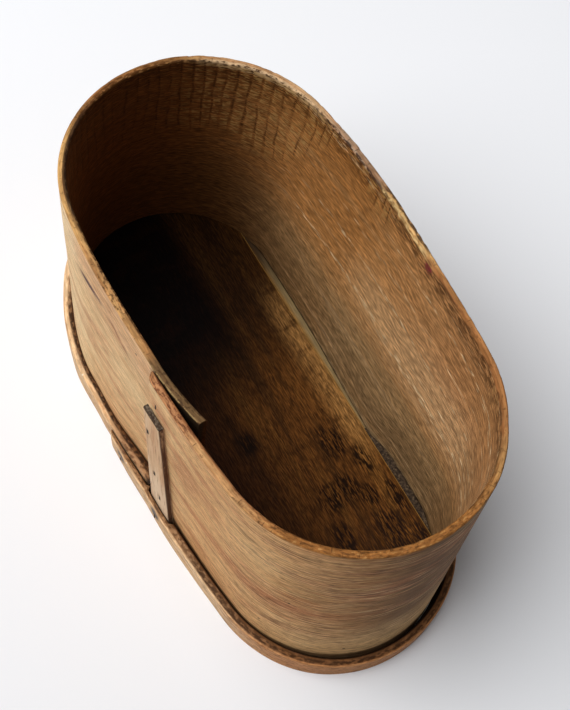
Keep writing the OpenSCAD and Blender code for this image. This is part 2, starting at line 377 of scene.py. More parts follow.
# Birch sheet, split thin, scraped and bent: a dry matt surface with short fibres, pale outside and brown with old
# fat inside.
def bent_birch():
    material, tree, place = new_material("bent_birch_sheet", bent=True)
    bend, fold = (put(tree, "ShaderNodeAttribute", attribute_name=mark).outputs["Fac"] for mark in ("bend", "fold"))
    along, height, depth = put(tree, "ShaderNodeSeparateXYZ", {0: place}).outputs
    bands = patches(tree, place, (160, 14, 400))
    streaks = patches(tree, place, (11, 1.1, 400), 3.0, 1)
    fibres = patches(tree, place, (6, 0.6, 300), 2.0, 2)
    lines = patches(tree, place, (18, 0.8, 400), 2.0, 16)
    dashes = patches(tree, place, (4.0, 0.8, 400), 1.0, 3)
    blush = patches(tree, place, (45, 8, 500), 3.0, 4)
    bows = patches(tree, place, (70, 5, 500), 2.0, 13)
    grain = patches(tree, place, (4.5, 0.45, 300), 0.0, 17)

    # Outer face: pale and scraped on the lap side, browner and more streaked round the near end, with painted shade
    # darkening the near end and painted light at its foot and at the lap side's far corner
    outer = stains(tree, srgb("#e0ba88"), [
        ("#c99866", 0.6, (bands, 0.5, 0.3)),
        ("#d9a774", 0.45, (along, 0.585, 0.62), (height, 0.075, 0.035)),
        ("#e8cb9a", 0.6, (bands, 0.52, 0.7)),
        # Paler towards the lap side's far corner: painted light
        ("#efcf9f", 0.6, (along, 0.53, 0.56), (along, 0.6, 0.575)),
        ("#f3d8ab", 0.6, (along, 0.562, 0.57), (along, 0.592, 0.58), (height, 0.1, 0.112)),
        ("#d19f77", 0.7, (height, 0.085, 0.12), (along, 0.56, 0.6), (blush, 0.65, 0.4)),
        ("#d29b62", 0.7, (along, 0.0, 0.06), (along, 0.14, 0.1)),
        # Darker brown round the near end, deepest on its face: partly the wood's colour, partly painted shade
        ("#a26d3c", 0.85, (along, 0.09, 0.14), (along, 0.5, 0.27)),
        ("#5a3e24", 0.87, (along, 0.12, 0.165), (along, 0.27, 0.2)),
        ("#bd7d55", 0.5, (blush, 0.5, 0.66)),
    ])
    for centre, radii, turn, colour, amount in (
        ((92, 61), (62, 10), 4, "#a8623a", 0.6), ((104, 36), (42, 6), 6, "#a8633f", 0.3),
        ((150, 92), (45, 5), 0, "#7d5a3e", 0.5), ((600, 111.3), (17, 2.8), 12, "#55363a", 1.0),
        ((625, 107.5), (15, 2.2), -28, "#93503a", 0.8), ((612, 70), (5, 3), 20, "#a8724c", 0.6),
        ((24, 112), (9, 14), 0, "#a8684a", 0.5), ((42, 86), (16, 20), 0, "#b0754c", 0.55),
        ((92, 97), (26, 15), 0, "#e8c28a", 0.4), ((113, 74), (15, 6), 4, "#a5612f", 0.5),
        ((112, 84), (22, 16), 0, "#965f2a", 0.3),
    ):
        blot = spot(tree, place, centre, radii, turn)
        outer = stain(tree, outer, colour, amount, (blot, 1.0, 0.3), (fibres, 0.25, 0.5))
    streaked = (blush, 0.36, 0.55), (along, 0.04, 0.1), (along, 0.5, 0.35)
    outer = stains(tree, outer, [
        ("#a0603a", 0.22, (bows, 0.53, 0.66), (along, 0.04, 0.12), (along, 0.52, 0.45)),
        ("#b0925e", 0.28, (bows, 0.47, 0.34), (along, 0.04, 0.12), (along, 0.45, 0.3)),
        ("#6a4022", 0.5, (streaks, 0.55, 0.7), (blush, 0.36, 0.5), (along, 0.06, 0.12), (along, 0.52, 0.45)),
        # Paler low on the near end, above the hoop: painted light
        ("#d9b07c", 0.7, (height, 0.06, 0.025), (along, 0.085, 0.12), (along, 0.27, 0.22)),
        ("#4a2f1b", 0.5, (lines, 0.53, 0.62), *streaked),
        ("#d3b588", 0.4, (lines, 0.46, 0.36), *streaked),
        ("#6b4526", 0.35, (dashes, 0.57, 0.64), (along, 0.02, 0.04), (along, 0.5, 0.35)),
        ("#b0744a", 0.45, (blush, 0.42, 0.56), (along, 0.025, 0.035), (along, 0.075, 0.05)),
        ("#b57c50", 0.4, (streaks, 0.48, 0.6), (blush, 0.4, 0.55), (along, 0.585, 0.61)),
        ("#3d2619", 0.7, (dashes, 0.7, 0.78)),
        # Dark band on the wall just above the hoop's top: painted shade where the hoop stands off the wall
        ("#4a2f1c", 0.75, (height, 0.0145, 0.0125)),
        # Near black on the inner end's outer face beside the outer end's tip: painted shade in the lap
        ("#120b06", 0.97, (along, 0.652, 0.658)),
    ])
    # Four small holes, painted near black on the smooth face: painted shade of the holes
    for centre in ((108, 66.6), (96.9, 27.9), (137.7, 21.4), (641, 119)):
        hole = spot(tree, place, centre, (0.9, 0.7))
        outer = stain(tree, outer, "#150d08", 0.95, (hole, 1.0, 0.6))
    for pattern, low, high in ((streaks, 1.04, 0.96), (lines, 1.12, 0.88), (fibres, 1.1, 0.9), (grain, 1.12, 0.88)):
        outer = shade(tree, outer, pattern, low, high)

    # Inner face: orange brown above, grey near the floor, and painted darkest from the far end on, most of all low
    # down: painted shade
    inner_bands = patches(tree, place, (240, 9, 300), 3.0, 5)
    flecks = patches(tree, place, (4.5, 0.55, 500), 1.0, 6)
    strands = patches(tree, place, (80, 2.2, 500), 2.0, 15)
    pale = patches(tree, place, (6, 0.75, 500), 1.0, 7)
    rows = patches(tree, place, (220, 3.2, 500), 1.0, 14)
    rough_height = put(tree, "ShaderNodeMath", {0: inner_bands, 1: 0.05, 2: height},
                       operation="MULTIPLY_ADD").outputs[0]
    inner = stains(tree, srgb("#b17a45"), [
        ("#93612f", 0.55, (inner_bands, 0.5, 0.34)),
        ("#c39867", 0.5, (inner_bands, 0.52, 0.66)),
        ("#bf936a", 0.5, (along, 0.34, 0.27), (height, 0.04, 0.07)),
        ("#957852", 0.85, (rough_height, 0.102, 0.055)),
        ("#614c34", 0.42, (height, 0.045, 0.015), (strands, 0.4, 0.55)),
        ("#9d8260", 0.5, (rough_height, 0.09, 0.06), (strands, 0.48, 0.36), (along, 0.42, 0.36)),
        # Dark from the far end on, darker still low down: painted shade
        ("#481c06", 0.93, (along, 0.37, 0.47)),
        ("#2c1306", 0.75, (along, 0.39, 0.45), (height, 0.1, 0.035)),
        ("#d2a672", 0.18, (along, 0.27, 0.29), (along, 0.35, 0.33), (height, 0.05, 0.07)),
        ("#8f5f30", 0.25, (along, 0.33, 0.36)),
        ("#94602f", 0.4, (rough_height, 0.11, 0.135), (along, 0.19, 0.23), (along, 0.42, 0.38)),
        ("#cda678", 0.45, (rough_height, 0.078, 0.092), (rough_height, 0.115, 0.1), (along, 0.19, 0.23),
         (along, 0.36, 0.32)),
        ("#86603a", 0.5, (along, 0.25, 0.225), (height, 0.11, 0.08)),
        ("#ead2a6", 0.65, (pale, 0.53, 0.6), (rows, 0.59, 0.65), (along, 0.42, 0.36), (height, 0.045, 0.065)),
        ("#3d2411", 0.7, (along, 0.645, 0.665)),
        # Near black on the outer end's inner face, over the lap: painted shade between the layers
        ("#120b06", 0.97, (along, 0.043, 0.04)),
    ])
    for pattern, low, high in ((strands, 1.08, 0.92), (flecks, 1.2, 0.8), (grain, 1.3, 0.7)):
        inner = shade(tree, inner, pattern, low, high)
    inner = stains(tree, inner, [
        ("#42240f", 0.75, (height, 0.117, 0.13), (flecks, 0.42, 0.54)),
        ("#42240f", 0.5, (height, 0.128, 0.131), (flecks, 0.25, 0.45), (along, 0.28, 0.34)),
        ("#c9a473", 0.8, (height, 0.1283, 0.1298), (along, 0.38, 0.395), (along, 0.462, 0.445), (flecks, 0.64, 0.5)),
    ])
    line = put(tree, "ShaderNodeMath", {0: fold, 1: 0.5}, operation="PINGPONG").outputs[0]
    broken = patches(tree, place, (5, 14, 500), 2.0, 8)
    beads = patches(tree, place, (9, 1.3, 500), 1.0, 9)
    inner = stains(tree, inner, [
        ("#c39a5c", 0.5, (line, 0.08, 0.2), (dashes, 0.5, 0.62), (bend, 0.1, 0.7), (along, 0.48, 0.43)),
        ("#2a1509", 0.58, (line, 0.13, 0.02), (broken, 0.38, 0.52), (beads, 0.36, 0.54), (bend, 0.02, 0.6)),
        ("#7d1a36", 0.9, (spot(tree, place, (303, 129), (4, 3.5)), 1.0, 0.4), (flecks, 0.56, 0.48)),
    ])

    # Cut edge at the rim: golden, dark with dirt along its inner arris, with flecks, a weathered stretch and painted
    # glints on the inner end's outer arris
    specks = patches(tree, place, (3.0, 2, 300), 2.0, 10)
    smudges = patches(tree, place, (12, 5, 900), 2.0, 11)
    nicks = patches(tree, place, (0.9, 3, 1500), 1.0, 12)
    lap_front = (along, 0.03, 0.045), (along, 0.1, 0.075)
    near_end = (along, 0.06, 0.09), (along, 0.22, 0.18)
    plain_side = (along, 0.17, 0.2), (along, 0.31, 0.295)
    weathered = (along, 0.304, 0.312), (along, 0.35, 0.342)
    rim = stains(tree, srgb("#cb9d62"), [
        ("#a86f37", 0.9, (along, 0.065, 0.1), (along, 0.22, 0.17)),
        ("#b88a5e", 0.75, *lap_front),
        ("#87502f", 0.6, (depth, 0.55, 0.8), *lap_front),
        ("#a5694a", 0.7, (along, 0.05, 0.035)),
        ("#a87042", 0.8, (along, 0.2, 0.225), (along, 0.31, 0.295)),
        ("#7d4f28", 0.8, (depth, 0.48, 0.66), *plain_side, (smudges, 0.66, 0.5)),
        ("#5c3a22", 0.6, (depth, 0.2, 0.05), *plain_side),
        ("#b98a58", 0.65, (along, 0.58, 0.605), (along, 0.656, 0.645)),
        ("#80552e", 0.8, (along, 0.445, 0.475), (along, 0.545, 0.52)),
        ("#98826f", 0.85, (along, 0.34, 0.35), (along, 0.395, 0.385)),
        ("#c4a17a", 0.8, (along, 0.375, 0.39), (along, 0.465, 0.44)),
        ("#9c6238", 0.5, (blush, 0.46, 0.6)),
        ("#7d5430", 0.5, (smudges, 0.5, 0.62)),
        ("#d0b27c", 0.65, *weathered, (depth, 0.45, 0.6), (specks, 0.6, 0.45)),
        ("#33241b", 0.85, *weathered, (depth, 0.5, 0.35), (specks, 0.35, 0.45)),
        ("#2a1407", 0.9, (depth, 0.62, 0.85), (specks, 0.36, 0.52), (along, 0.3, 0.36), (along, 0.648, 0.64)),
        ("#54300f", 0.85, (depth, 0.2, 0.45), (specks, 0.36, 0.54), (along, 0.455, 0.48), (along, 0.54, 0.52)),
        ("#2a170b", 0.85, (depth, 0.44, 0.62), (along, 0.5, 0.53), (along, 0.59, 0.57)),
        ("#d3b087", 0.75, (depth, 0.5, 0.7), (along, 0.385, 0.4), (along, 0.46, 0.445), (specks, 0.62, 0.5)),
        ("#8f5c2c", 0.75, (along, 0.085, 0.105), (along, 0.21, 0.17)),
        ("#c99a5e", 0.4, (specks, 0.42, 0.34), *near_end),
        ("#3d2410", 0.45, (specks, 0.48, 0.6), *near_end),
        ("#3a200e", 0.7, (depth, 0.7, 0.9), (smudges, 0.42, 0.56), (along, 0.36, 0.3)),
        ("#35200f", 0.45, (specks, 0.58, 0.68)),
        ("#24150b", 0.6, (nicks, 0.66, 0.74)),
        ("#5a2f1c", 0.75, (specks, 0.46, 0.6), (along, 0.05, 0.038)),
        ("#3a220f", 0.6, (specks, 0.5, 0.6), (along, 0.6, 0.61), (along, 0.634, 0.624)),
        ("#5a432b", 0.9, (along, 0.646, 0.656)),
        ("#2e1d10", 0.6, (specks, 0.5, 0.6), (along, 0.65, 0.66)),
        # Pale on the inner end's outer arris: painted highlight, as glints
        ("#c4a770", 0.5, (along, 0.648, 0.66), (depth, 0.2, 0.05), (specks, 0.56, 0.46)),
    ])
    rim = shade(tree, rim, fibres, 1.15, 0.85)

    inside = put(tree, "ShaderNodeMapRange", {"Value": depth, "From Min": 0.4, "From Max": 0.75}).outputs[0]
    colour = put(tree, "ShaderNodeMix", {0: inside, 6: outer, 7: inner}, data_type="RGBA").outputs[2]
    top = put(tree, "ShaderNodeMapRange", {"Value": height, "From Min": 0.1307, "From Max": 0.1316}).outputs[0]
    colour = put(tree, "ShaderNodeMix", {0: top, 6: colour, 7: rim}, data_type="RGBA").outputs[2]
    finish_surface(tree, colour, fibres, rough=(0.55, 0.7), relief=0.2)
    return material


# Hoop of the same birch, handled and greasy: more orange, with a dark top edge where dirt sits against the wall, and
# painted shade on its inner face and inner end.
def hoop_birch():
    material, tree, place = new_material("greasy_birch_hoop", bent=True)
    along, height, depth = put(tree, "ShaderNodeSeparateXYZ", {0: place}).outputs
    bands = patches(tree, place, (40, 3.5, 300))
    fibres = patches(tree, place, (6, 0.8, 300), 2.0, 1)
    dirt = patches(tree, place, (6, 3, 900), 3.0, 2)
    grime = patches(tree, place, (2.6, 2, 280), 3.0, 3)
    colour = stains(tree, srgb("#dab489"), [
        ("#c08e60", 0.7, (bands, 0.5, 0.34)),
        ("#dfc09a", 0.7, (bands, 0.52, 0.66)),
        ("#bb7a45", 0.8, (along, 0.07, 0.12), (along, 0.45, 0.3)),
        ("#7a4a28", 0.4, (dirt, 0.54, 0.68)),
        ("#6a3f22", 0.45, (grime, 0.52, 0.64), (along, 0.06, 0.1), (along, 0.45, 0.35)),
    ])
    colour = shade(tree, colour, fibres, 1.15, 0.8)
    top = (height, 0.0112, 0.0126)
    near_half = (along, 0.04, 0.06), (along, 0.5, 0.45)
    far_top = (height, 0.0108, 0.0122), (along, 0.53, 0.56)
    colour = stains(tree, colour, [
        ("#5a371c", 0.8, top, (depth, 0.04, 0.25), *near_half),
        ("#2b190c", 0.8, top, (depth, 0.06, 0.3), (grime, 0.36, 0.56), *near_half),
        ("#7d5331", 0.75, top, (depth, 0.1, 0.3), (along, 0.06, 0.04)),
        ("#40260f", 0.75, top, (depth, 0.15, 0.4), (grime, 0.42, 0.58), (along, 0.06, 0.04)),
        ("#8a5c38", 0.7, top, (along, 0.61, 0.63)),
        ("#4a2c17", 0.7, top, (grime, 0.46, 0.6), (along, 0.62, 0.635)),
        ("#6a4628", 0.75, (height, 0.0116, 0.0128), (depth, 0.5, 0.8), (grime, 0.3, 0.56)),
        ("#573519", 0.85, *far_top, (depth, 0.36, 0.56)),
        ("#1c100a", 0.8, *far_top, (depth, 0.4, 0.6), (grime, 0.42, 0.55)),
        # Near black on the inner face against the wall and at the inner end's tip: painted shade in the gap and in the
        # wedge between the ends
        ("#4a2a18", 0.85, (depth, 0.75, 0.95)),
        ("#1d120b", 0.9, (depth, 0.75, 0.95), (along, 0.5, 0.4)),
        ("#1d120b", 0.95, (along, 0.651, 0.655)),
    ])
    for centre in ((-9, 8), (24, 8)):
        iron = spot(tree, place, centre, (5, 6))
        colour = stain(tree, colour, "#363d47", 0.85, (iron, 1.0, 0.4), (dirt, 0.32, 0.46))
    for centre in ((591, 12.6), (-3, 12.4)):
        chip = spot(tree, place, centre, (0.6, 0.5))
        colour = stain(tree, colour, "#e9dcc4", 0.8, (chip, 1.0, 0.5), (depth, 0.4, 0.2))
    finish_surface(tree, colour, fibres, rough=(0.5, 0.65), relief=0.2)
    return material


# Batten of split pine, pale and dry, with dark end grain at its top and reddish sawn sides, painted darker still as
# painted shade.
def batten_pine():
    material, tree, place = new_material("split_pine_batten")
    height = put(tree, "ShaderNodeSeparateXYZ", {0: place}).outputs[2]
    side, end, rust = (put(tree, "ShaderNodeAttribute", attribute_name=mark).outputs["Fac"]
                       for mark in ("side", "end", "rust"))
    fibres = patches(tree, place, (0.8, 2.5, 18), 3.0)
    bands = patches(tree, place, (4, 5, 50), 3.0, 1)
    grit = patches(tree, place, (1.2, 1.2, 1.2), 3.0, 2)
    colour = stains(tree, srgb("#d4ac84"), [
        ("#bd8a62", 0.7, (bands, 0.5, 0.34)),
        ("#e2c6a2", 0.6, (bands, 0.53, 0.68)),
        ("#ecd0b0", 0.6, (height, 0.06, 0.035)),
        ("#8a5a3c", 0.65, (fibres, 0.52, 0.66)),
        # Dark red-brown on both sides: partly the sawn wood, partly painted shade
        ("#4d2c1a", 0.92, (side, 0.0, 1.0), (fibres, 0.2, 0.45)),
        ("#221b17", 0.95, (end, 0.0, 1.0)),
        ("#6c6152", 0.8, (end, 0.0, 1.0), (grit, 0.48, 0.62)),
        ("#2a1c16", 0.9, (rust, 0.0, 1.0)),
    ])
    finish_surface(tree, colour, fibres, rough=(0.55, 0.7), relief=0.2)
    return material


# Bottom board of pine, dark brown and slightly polished by old fat, golden where it was scraped along its free edge,
# with painted shadow darkening it towards the lap side and the far end.
def pine_fat_stained_and_shaded():
    material, tree, place = new_material("pine_board_fat_stained_and_shaded")
    x, y, z = put(tree, "ShaderNodeSeparateXYZ", {0: place}).outputs
    fibres = patches(tree, place, (4, 0.55, 8), 2.0)
    grain = patches(tree, place, (5, 0.45, 8), 0.0, 4)
    bands = patches(tree, place, (110, 9, 40), 3.0, 1)
    dashes = patches(tree, place, (4.5, 0.75, 30), 1.0, 2)
    clouds = patches(tree, place, (8, 16, 60), 3.0, 3)
    colour = stains(tree, srgb("#5a3716"), [
        ("#422911", 0.8, (bands, 0.5, 0.34)),
        ("#6e481f", 0.7, (bands, 0.52, 0.66)),
        # Darker towards the lap side and near black towards the far end: painted shadow of the wall
        ("#1b0803", 0.92, (y, 0.025, -0.035)),
        ("#040101", 0.82, (x, 0.01, -0.06), (y, 0.08, 0.03)),
        ("#040101", 0.96, (x, 0.01, -0.06), (y, 0.024, 0.006)),
        ("#1b0a04", 0.14, (x, -0.005, 0.02), (y, 0.036, 0.026)),
        ("#9c7240", 0.6, (y, 0.031, 0.0435), (x, -0.07, -0.03), (x, 0.055, 0.02), (clouds, 0.78, 0.5)),
        ("#1f0e05", 0.28, (clouds, 0.5, 0.64), (fibres, 0.3, 0.5)),
        ("#160a04", 0.4, (dashes, 0.58, 0.7)),
    ])
    colour = shade(tree, colour, fibres, 1.24, 0.76)
    colour = shade(tree, colour, grain, 1.3, 0.7)
    for centre, radii in (
        ((29.5, 28.5), (14, 9)), ((45, 37), (12, 6)), ((54, 23), (12, 9)), ((62, 31), (9, 6)), ((55, 13), (12, 8)),
        ((80, 32), (14, 10)), ((90, 42), (10, 5)), ((96, 30), (12, 11)), ((75, 9), (12, 7)), ((68, 42), (16, 5)),
    ):
        blot = spot(tree, place, centre, radii)
        colour = stain(tree, colour, "#0b0503", 0.9, (blot, 1.0, 0.4), (dashes, 0.43, 0.55))
    colour = stains(tree, colour, [
        ("#170b06", 0.6, (spot(tree, place, (12, -9), (11, 9)), 1.0, 0.4), (dashes, 0.3, 0.5)),
        ("#0e0704", 0.92, (spot(tree, place, (12.4, -8.4), (8, 6)), 1.0, 0.3), (dashes, 0.3, 0.5)),
        ("#281a14", 0.5, (x, 0.06, 0.09), (dashes, 0.38, 0.52)),
        ("#b98a45", 0.4, (y, 0.0459, 0.0464), (z, 0.005, 0.0066)),
    ])
    finish_surface(tree, colour, fibres, rough=(0.45, 0.62), relief=0.2, gloss=0.03)
    return material


# Shim of weathered split wood: golden like the board on one side, grey like the wall on the other, with a dark open
# joint at the wall and painted shade towards the far end.
def grey_split_wood():
    material, tree, place = new_material("grey_split_shim")
    x = put(tree, "ShaderNodeSeparateXYZ", {0: place}).outputs[0]
    across = put(tree, "ShaderNodeAttribute", attribute_name="across").outputs["Fac"]
    fibres = patches(tree, place, (9, 0.6, 6), 2.0)
    colour = stains(tree, srgb("#7d6947"), [
        ("#8f7d5c", 0.6, (fibres, 0.52, 0.66)),
        ("#8a6534", 0.85, (across, 0.45, 0.0)),
        ("#130b06", 0.95, (across, 0.86, 0.93)),
        # Darker towards the far end, like the board there: painted shade
        ("#2a180c", 0.9, (x, -0.045, -0.085)),
    ])
    colour = shade(tree, colour, fibres, 1.2, 0.75)
    finish_surface(tree, colour, fibres, rough=(0.6, 0.75), relief=0.2)
    return material


# Pitch with sand and dirt in it: nearly black, dull, with grit of about 1 mm.
def gritty_pitch():
    material, tree, place = new_material("gritty_pitch")
    grit = patches(tree, place, (1.3, 1.3, 1.3), 2.0)
    colour = stains(tree, srgb("#3f3226"), [
        ("#1b140e", 0.7, (grit, 0.5, 0.4)),
        ("#75634b", 0.5, (grit, 0.56, 0.66)),
    ])
    finish_surface(tree, colour, grit, rough=(0.65, 0.85), relief=0.5)
    return material


# Hand-cut iron, black with old rust.
def rusted_iron():
    material, tree, place = new_material("rusted_cut_iron")
    scale = patches(tree, place, (0.8, 0.8, 0.8), 3.0)
    colour = stain(tree, srgb("#1f1815"), "#46301f", 0.8, (scale, 0.52, 0.68))
    finish_surface(tree, colour, scale, rough=(0.6, 0.8), relief=0.1)
    return material


# Whittled peg of the same birch.
def whittled_birch():
    material, tree, place = new_material("whittled_birch_peg")
    fibres = patches(tree, place, (3, 3, 1.2), 3.0)
    colour = stain(tree, srgb("#a98253"), "#7c5a34", 0.8, (fibres, 0.45, 0.65))
    finish_surface(tree, colour, fibres, rough=(0.6, 0.75), relief=0.15)
    return material


# Creases are the short folds that bending pressed into the inner face of the round ends. They are numbered along
# the sheet: a fold is where the number is whole.
CREASE = 5.8


def fold_number(s, z):
    return (s / CREASE + 0.5 * wander(s / 23, z / 60, 1) + 0.15 * wander(s / 7, z / 10, 2)
            + 0.05 * wander(s / 3, z / 4, 3))


def bend_share(s, z):
    """Where the folds show: in the upper part of the far end, and close under the rim elsewhere."""
    low = 112 - 40 * ease(s, 365, 415) + 12 * wander(s / 17, z * 0 + 3.5, 4)
    return np.maximum(stretch(s, *CREASED_END), 0.5 * stretch(s, *CREASED_RIM)) * ease(z, low, low + 32)


def make_wall_band(material):
    # Stations along the sheet, close together at its thinned outer end
    lead = OUTER_END + np.array([0, 0.3, 0.7, 1.2, 1.8, 2.5, 3.3, 4.2])
    s = np.concatenate([lead, np.linspace(OUTER_END + 5.2, RUN + INNER_END, 960)])[:, None]
    depth, z = strip_section(WALL_HEIGHT, WALL, soft=1.0, rows=36)
    share = depth / WALL
    bevel = WALL * np.interp(s - OUTER_END, [0, 0.6, 1.2, 2.2, 3.5], [0.62, 0.4, 0.25, 0.1, 0])
    top = ease(z, WALL_HEIGHT - 1.5, WALL_HEIGHT)
    worn = stretch(s, *WORN_RIM) + 0.5 * ease(wander(s / 35, 0 * s, 5), 0.2, 0.8)
    fold = fold_number(s, z)
    bend = bend_share(s, z)
    groove = (1 - 2 * np.abs(np.mod(fold + 0.5, 1.0) - 0.5)) ** 3
    offset = -bevel - depth * (WALL - bevel) / WALL - set_in(s - RUN, z)
    offset = offset + 0.14 * wander(s / 26, z / 34, 6) * (1 - top) + 0.05 * wander(s / 7, z / 9, 7)
    offset = offset + 0.3 * groove * bend * (share > 0.6)
    offset = offset - swell(s, z) * share + 0.6 * (1 - share) * stretch(s, *FOOT_OUT) * ease(z, 50, 10)
    chips = ease(wander(s / 2.6, share * 3, 8), 0.35 - 0.25 * worn, 0.95) * (0.35 + 0.55 * worn)
    nick = sum(deep * ease(np.abs(s - at), wide, low) for at, deep, wide, low in NICKS)
    rise = 0.28 * wander(s / 38, 0 * s, 9) + 0.12 * wander(s / 6, share * 2, 10) - chips - nick
    points = on_wall(s, z + rise * top, offset)
    piece("bent_wall", points, strip_faces(*points.shape[:2]), material, "wall_band",
          sheet_places(s, z, share), {"fold": fold, "bend": bend})


HOOP_END = OUTER_END - 2 * FIT
HOOP_START = HOOP_END - HOOP_LAP
BATTEN_RIGHT = batten_edge(0) + BATTEN_FOOT_WIDTH
HOOP_BACK = BATTEN_RIGHT + HOOP_RETURN


def hoop_under(s):
    """Offset of the hoop's inner face towards its inner end, which lies on the wall."""
    return HOOP_GAP + (FIT - HOOP_GAP) * lean_in(s, 0) - set_in(s, 0)


def hoop_over(s):
    """Offset of the hoop's inner face from its outer end on, which lies over the inner end and the batten."""
    out = 2 * FIT + BATTEN
    return np.interp(s, [HOOP_START, batten_edge(0) - FIT, BATTEN_RIGHT + FIT, HOOP_BACK],
                     [hoop_under(HOOP_START) + HOOP + FIT, out, out, HOOP_GAP])


def hoop_depth(s):
    """Thickness of the hoop, which is thinner towards its outer end and thinnest at the tip."""
    full = np.interp(s, [HOOP_START, BATTEN_RIGHT, HOOP_BACK], [HOOP_TIP, (HOOP_TIP + HOOP) / 2, HOOP])
    return full * (1 - np.interp(s - HOOP_START, [0, 0.6, 1.5, 2.6, 4], [0.6, 0.38, 0.2, 0.07, 0]))


def hoop_wedge(s):
    """Gap that the batten opens between the two ends of the hoop."""
    return np.clip(hoop_over(s) - FIT - hoop_under(s) - HOOP, 0, None)


def make_foot_hoop(material):
    lead = HOOP_START + np.array([0, 0.3, 0.8, 1.5, 2.4, 3.5])
    s = np.concatenate([lead, np.linspace(HOOP_START + 4.8, RUN + HOOP_END, 460)])[:, None]
    depth, z = strip_section(HOOP_HEIGHT, HOOP, soft=0.9, rows=8)
    share = depth / HOOP
    inner = np.where(s < RUN / 2, hoop_over(s), hoop_under(s - RUN))
    # The inner end is split thicker and fills most of the wedge between the two ends
    thick = hoop_depth(s) + 0.6 * np.where(s > RUN / 2, hoop_wedge(s - RUN), 0)
    top = ease(z, HOOP_HEIGHT - 1.5, HOOP_HEIGHT)
    chips = ease(wander(s / 3.4, share * 3, 21), 0.45, 0.95) * 0.4
    offset = inner + thick * (1 - share) + 0.10 * wander(s / 14, z / 9, 22) * (1 - share)
    # The hoop bears on the wall below and stands off it above, by a hair on the sides and more round the near end
    under = np.where(s < RUN / 2, 0, set_in(s - RUN, 0))
    beside_batten = (s < batten_edge(0) - 2) | (s > BATTEN_RIGHT + 2)
    bearing = np.select([s < HOOP_END, beside_batten], [0.4 * hoop_wedge(s), inner + under - FIT], 0)
    near_end = stretch(s, *HOOP_OFF)
    pressed = np.maximum(ease(z, 8, 3), 0.7 - 0.55 * near_end + 0.25 * ease(s, 420, 500))
    offset = offset - share * np.clip(bearing, 0, None) * pressed
    offset = offset + 0.6 * near_end * ease(z, 3, 9)
    rise = 0.25 * wander(s / 30, 0 * s, 23) + 0.1 * wander(s / 5, share * 2, 24) - chips
    points = on_wall(s, z + rise * top, offset)
    piece("foot_hoop_band", points, strip_faces(*points.shape[:2]), material, "foot_hoop",
          sheet_places(s, z, share))


def make_batten(material):
    top_rows = BATTEN_TOP - np.array([0.45, 0.2, 0.05, 0])
    z = np.concatenate([np.linspace(BATTEN_FOOT, BATTEN_TOP - 0.8, 60), top_rows])[:, None]
    left = batten_edge(z)
    width = BATTEN_FOOT_WIDTH + (BATTEN_TOP_WIDTH - BATTEN_FOOT_WIDTH) * z / BATTEN_TOP
    # Section: up the left side, over the face and down the right side, then back along the wall
    shares = np.concatenate([np.zeros(5), [0.012, 0.035], np.linspace(0.07, 0.93, 11), [0.965, 0.988], np.ones(5),
                             np.linspace(0.93, 0.07, 11)])[None, :]
    rise = np.concatenate([np.linspace(0, 0.8, 5), [0.9, 0.97], np.ones(11), [0.97, 0.9], np.linspace(0.8, 0, 5),
                           np.zeros(11)])[None, :]
    ragged = 0.12 * wander(z / 9, shares * 2, 31) + 0.06 * wander(z / 2.5, shares * 4, 32)
    s = left + shares * width + ragged * (np.abs(shares - 0.5) > 0.45)
    close = np.ones_like(z)
    close[-4:, 0] = [0.97, 0.93, 0.87, 0.82]
    offset = FIT + BATTEN * rise * (1 + 0.04 * wander(z / 20, shares * 3, 33)) * close
    points = on_wall(s, z + 0 * s, offset)
    shape = rows, around = points.shape[:2]
    faces = ring_faces(rows, around)
    faces.append(tuple(range(around))[::-1])
    faces.append(tuple((rows - 1) * around + i for i in range(around)))
    side = np.broadcast_to(ease(np.abs(shares - 0.5), 0.465, 0.5) * (rise > 0.02), shape)
    end = np.broadcast_to(ease(z, BATTEN_TOP - 0.6, BATTEN_TOP - 0.1), shape)
    # Rust has run into the wood round each nail, a little further than its head reaches
    rust = np.zeros(shape)
    for nail_z, inset in BATTEN_NAILS:
        away = np.hypot((s - batten_edge(nail_z) - inset) / 1.5, (z - nail_z) / 3.4)
        rust = np.maximum(rust, ease(away, 1.0, 0.35))
    piece("lap_batten", points, faces, material, "lock_batten",
          marks={"side": side, "end": end, "rust": rust})


def inner_face(s):
    """Line along the foot of the wall's inner face that the floor's pieces are cut to."""
    return on_wall(s, 0, -WALL - 2 * FIT - set_in(s - RUN, 0) - swell(s, 0))[..., :2]


def make_board(material):
    """Board in strips across its grain, with a worn arris along its free edge."""
    outline = inner_face(np.linspace(INNER_END + FIT, RUN + INNER_END + FIT, 1200))
    low_x, high_x = outline[:, 0].min() + 0.15, outline[:, 0].max() - 0.15
    x = ((low_x + high_x) / 2 - (high_x - low_x) / 2 * np.cos(np.linspace(0, math.pi, 150)))[:, None]
    lap_side, plain_side = outline[outline[:, 1] < 0], outline[outline[:, 1] >= 0]
    lap_side = lap_side[np.argsort(lap_side[:, 0])]
    plain_side = plain_side[np.argsort(plain_side[:, 0])]
    low = np.interp(x, lap_side[:, 0], lap_side[:, 1])
    high = np.minimum(np.interp(x, plain_side[:, 0], plain_side[:, 1]), BOARD_EDGE)
    across = np.concatenate([[0, 0.004, 0.012], np.linspace(0.03, 0.97, 44), [0.985, 0.993, 0.998, 1.0]])[None, :]
    y = low + (high - low) * across
    drop = 0.3 * ease(across, 0.985, 1.0) + 0.3 * ease(across, 0.012, 0.0)
    wear = 0.12 * wander(x / 34, y / 16, 41) + 0.05 * wander(x / 9, y / 2.2, 42)
    hole = 0.9 * ease(np.hypot(x - 69, y - 1.5), 1.7, 0.6)
    points = slab(x, y, BOARD + wear - drop - 0.1 - hole, 0)
    faces = [face[::-1] for face in strip_faces(*points.shape[:2])]
    piece("floor_board", points, faces, material, "bottom_board")


